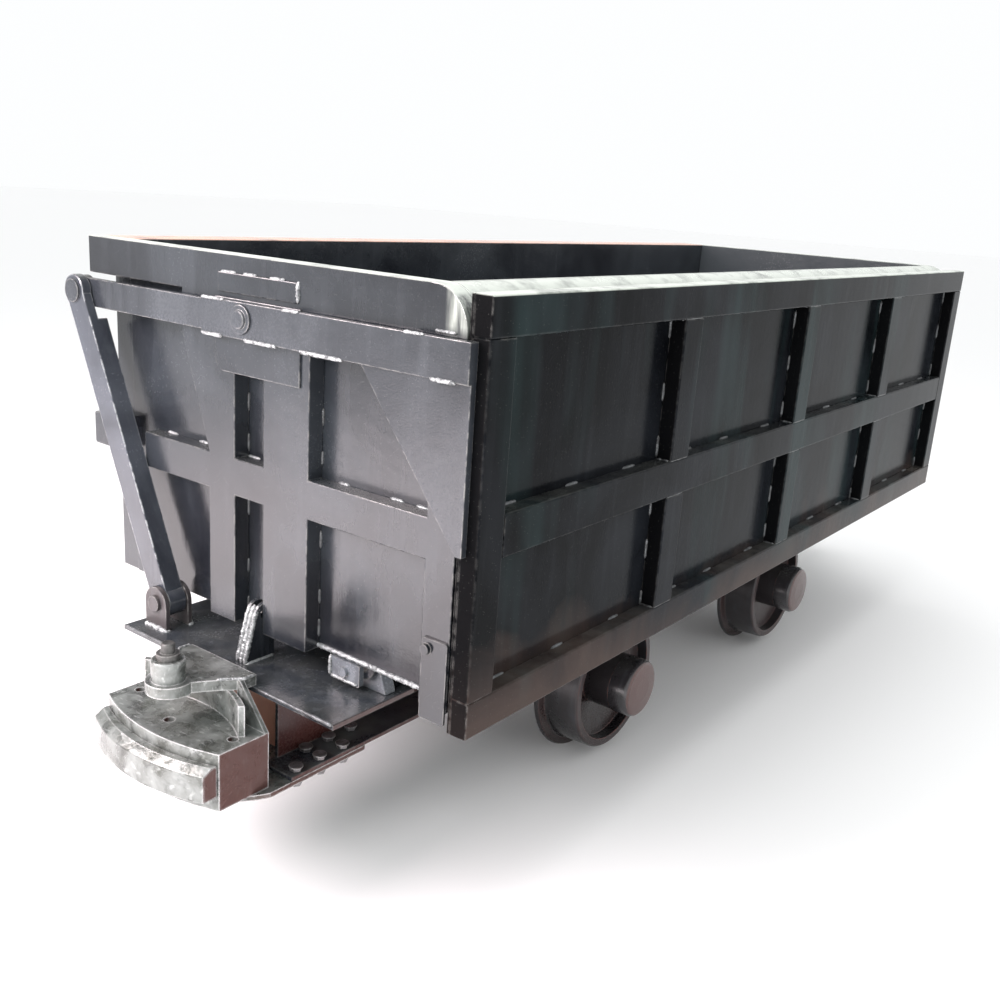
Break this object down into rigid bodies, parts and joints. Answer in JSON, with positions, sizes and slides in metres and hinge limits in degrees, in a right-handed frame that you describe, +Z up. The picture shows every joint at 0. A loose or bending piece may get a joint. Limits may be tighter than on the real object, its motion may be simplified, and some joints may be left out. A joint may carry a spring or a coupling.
{
  "type": "mine cart",
  "caption": "Side-dump rail mine cart: open steel hopper with a side gate swung open by parallel end links as it tips, on a channel underframe with flanged wheels and curved bumpers.",
  "frame": {"origin": "on the track centreline under the middle of the car, level with the bottoms of the wheel flanges", "axes": "+X along the track, +Y across it away from the swinging gate, +Z up"},
  "size_m": [3.67, 1.2555, 1.3579],
  "materials": {
    "frame_enamel": "glossy black enamel over steel",
    "hopper_enamel": "glossy charcoal enamel over welded plate",
    "gate_enamel": "glossy black enamel over welded plate",
    "cast_steel": "greasy painted casting with bright worn edges",
    "wheel_iron": "red-brown primed cast iron with a worn tread",
    "cap_enamel": "dark brown enamel",
    "axle_steel": "turned steel",
    "bearing_steel": "ground bearing steel",
    "bolt_steel": "forged steel pins, bolts and nuts",
    "roller_steel": "cast roller with a worn rim"
  },
  "bodies": {
    "underframe": {"channel_gate_side": "frame_enamel", "channel_far_side": "frame_enamel", "cross_members": "frame_enamel", "deck_plates": "frame_enamel", "bumper_front": "cast_steel", "bumper_rear": "cast_steel", "buffer_pad_front": "cast_steel", "buffer_pad_rear": "cast_steel", "frame_bolts": "bolt_steel", "link_brackets": "frame_enamel", "link_foot_pins": "bolt_steel", "tip_brackets": "frame_enamel", "lock_lugs": "frame_enamel", "body_rests": "frame_enamel", "axle_front": "axle_steel", "axle_rear": "axle_steel", "axle_boxes": "frame_enamel", "axle_nuts": "bolt_steel"},
    "hopper": {"end_wall_front": "hopper_enamel", "end_wall_rear": "hopper_enamel", "end_frame_front": "hopper_enamel", "end_frame_rear": "hopper_enamel", "pivot_plates": "hopper_enamel", "corner_plates": "hopper_enamel", "far_wall": "hopper_enamel", "floor_sheet": "hopper_enamel", "floor_bearers": "hopper_enamel", "far_rails": "hopper_enamel", "far_stakes": "hopper_enamel", "tie_rail": "hopper_enamel", "hinge_lugs": "hopper_enamel", "tip_pins": "bolt_steel", "hinge_cover_plates": "hopper_enamel", "arm_pins": "bolt_steel", "roller_bracket": "hopper_enamel", "roller_pin": "bolt_steel"},
    "gate": {"gate_sheet": "gate_enamel", "gate_rails": "gate_enamel", "gate_posts": "gate_enamel", "gate_arm_front": "gate_enamel", "gate_arm_rear": "gate_enamel"},
    "dump_roller": {"dump_roller": "roller_steel"},
    "link_front": {"link_front": "gate_enamel", "link_head_pin_front": "bolt_steel"},
    "draw_pin_front": {"draw_pin_front": "bolt_steel"},
    "wheel_front_gate_side": {"wheel_front_gate_side": "wheel_iron", "wheel_bearings_front_gate_side": "bearing_steel", "hub_cap_front_gate_side": "cap_enamel"},
    "wheel_front_far_side": {"wheel_front_far_side": "wheel_iron", "wheel_bearings_front_far_side": "bearing_steel", "hub_cap_front_far_side": "cap_enamel"},
    "link_rear": {"link_rear": "gate_enamel", "link_head_pin_rear": "bolt_steel"},
    "draw_pin_rear": {"draw_pin_rear": "bolt_steel"},
    "wheel_rear_gate_side": {"wheel_rear_gate_side": "wheel_iron", "wheel_bearings_rear_gate_side": "bearing_steel", "hub_cap_rear_gate_side": "cap_enamel"},
    "wheel_rear_far_side": {"wheel_rear_far_side": "wheel_iron", "wheel_bearings_rear_far_side": "bearing_steel", "hub_cap_rear_far_side": "cap_enamel"}
  },
  "joints": [
    {"name": "hopper_tip", "type": "hinge", "parent": "underframe", "child": "hopper", "pos_m": [0, -0.288, 0.53], "axis": [1, 0, 0], "range_deg": [0, 40]},
    {"name": "gate_hang", "type": "hinge", "parent": "hopper", "child": "gate", "pos_m": [0, 0.026, 1.23], "axis": [1, 0, 0], "range_deg": [-40, 0]},
    {"name": "link_front_swing", "type": "hinge", "parent": "underframe", "child": "link_front", "pos_m": [-1.525, 0.29, 0.53], "axis": [1, 0, 0], "range_deg": [0, 40]},
    {"name": "draw_pin_front_lift", "type": "slide", "parent": "underframe", "child": "draw_pin_front", "axis": [0, 0, 1], "range_m": [0, 0.11]},
    {"name": "wheel_front_gate_side_spin", "type": "hinge", "parent": "underframe", "child": "wheel_front_gate_side", "pos_m": [-0.555, -0.35, 0.228], "axis": [0, 1, 0], "continuous": true},
    {"name": "wheel_front_far_side_spin", "type": "hinge", "parent": "underframe", "child": "wheel_front_far_side", "pos_m": [-0.555, 0.35, 0.228], "axis": [0, 1, 0], "continuous": true},
    {"name": "link_rear_swing", "type": "hinge", "parent": "underframe", "child": "link_rear", "pos_m": [1.525, 0.29, 0.53], "axis": [1, 0, 0], "range_deg": [0, 40]},
    {"name": "draw_pin_rear_lift", "type": "slide", "parent": "underframe", "child": "draw_pin_rear", "axis": [0, 0, 1], "range_m": [0, 0.11]},
    {"name": "wheel_rear_gate_side_spin", "type": "hinge", "parent": "underframe", "child": "wheel_rear_gate_side", "pos_m": [0.555, -0.35, 0.228], "axis": [0, 1, 0], "continuous": true},
    {"name": "wheel_rear_far_side_spin", "type": "hinge", "parent": "underframe", "child": "wheel_rear_far_side", "pos_m": [0.555, 0.35, 0.228], "axis": [0, 1, 0], "continuous": true},
    {"name": "dump_roller_spin", "type": "hinge", "parent": "hopper", "child": "dump_roller", "pos_m": [0, 0.566, 0.618], "axis": [0, 1, 0], "continuous": true}
  ],
  "couplings": [
    {"joint": "gate_hang", "follows": "hopper_tip", "ratio": -1},
    {"joint": "link_front_swing", "follows": "hopper_tip", "ratio": 1},
    {"joint": "link_rear_swing", "follows": "hopper_tip", "ratio": 1}
  ]
}
